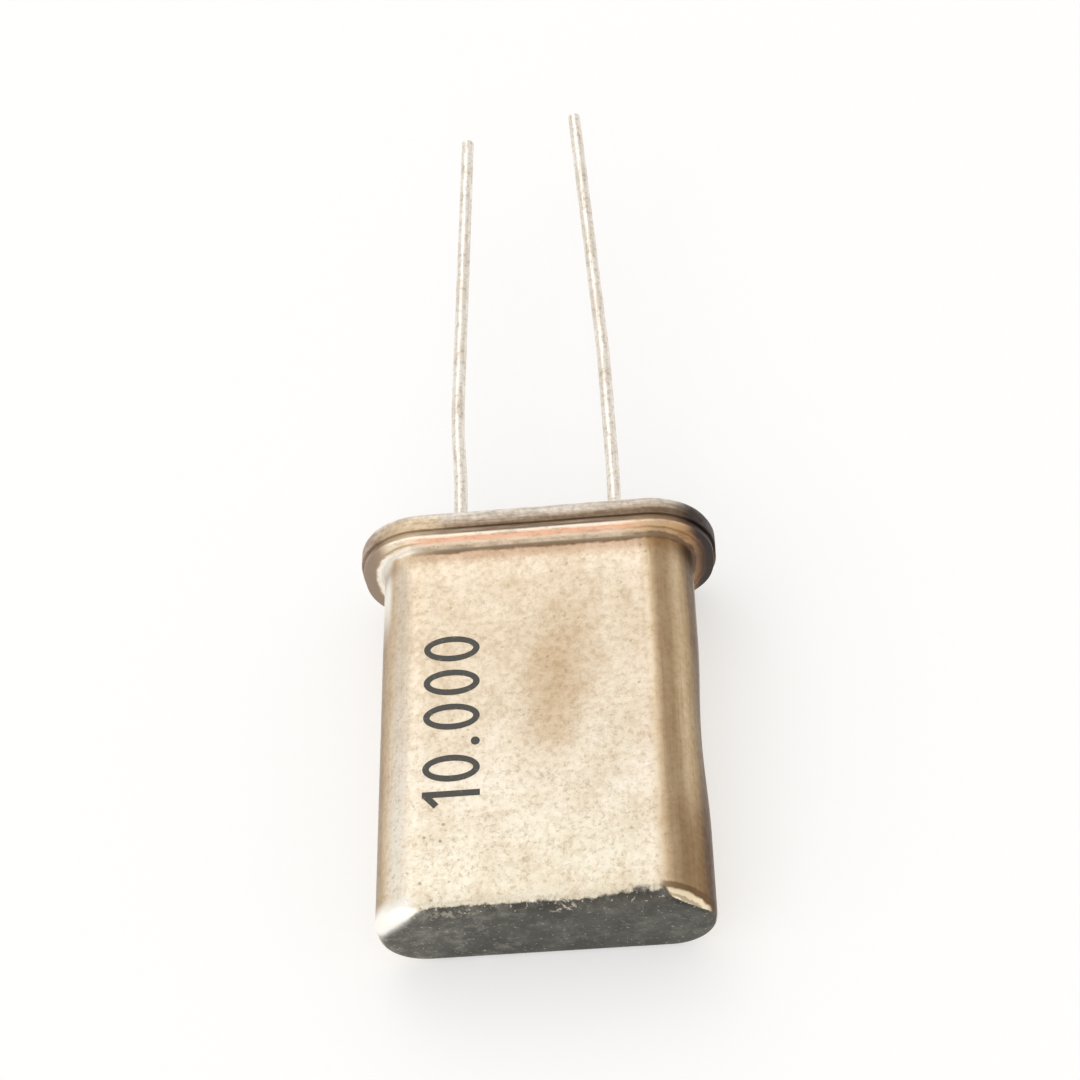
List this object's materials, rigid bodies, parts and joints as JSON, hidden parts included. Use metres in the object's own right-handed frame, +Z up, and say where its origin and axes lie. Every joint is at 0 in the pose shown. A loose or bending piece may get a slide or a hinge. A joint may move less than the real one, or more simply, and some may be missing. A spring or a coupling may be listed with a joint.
{
  "type": "crystal oscillator",
  "caption": "Quartz crystal in a flat sealed metal can with rounded long sides, a welded rim and wire leads through glass seals.",
  "frame": {"origin": "centre of the unit's footprint, on the surface that it lies on", "axes": "+Z up from that surface, on the side of the printed wide face; +Y the way the leads point, along the surface; +X across the can's width. The can's own axis leans a few degrees, because the rim is thicker than the can"},
  "size_m": [0.011, 0.0321, 0.0047],
  "materials": {
    "can_metal": "satin, warm nickel",
    "header_metal": "dull nickel plate",
    "seal_glass": "dark sealing glass",
    "lead_wire": "tinned",
    "clip_strip": "bright strip",
    "quartz": "lapped quartz",
    "silver_film": "evaporated silver",
    "silver_cement": "silver-filled cement"
  },
  "bodies": {
    "root": {"can": "can_metal", "header": "header_metal", "left_glass_seal": "seal_glass", "right_glass_seal": "seal_glass", "left_lead": "lead_wire", "right_lead": "lead_wire", "left_spring_clip": "clip_strip", "right_spring_clip": "clip_strip", "quartz_blank": "quartz", "front_electrode": "silver_film", "rear_electrode": "silver_film", "left_cement_bead": "silver_cement", "right_cement_bead": "silver_cement"}
  },
  "joints": []
}
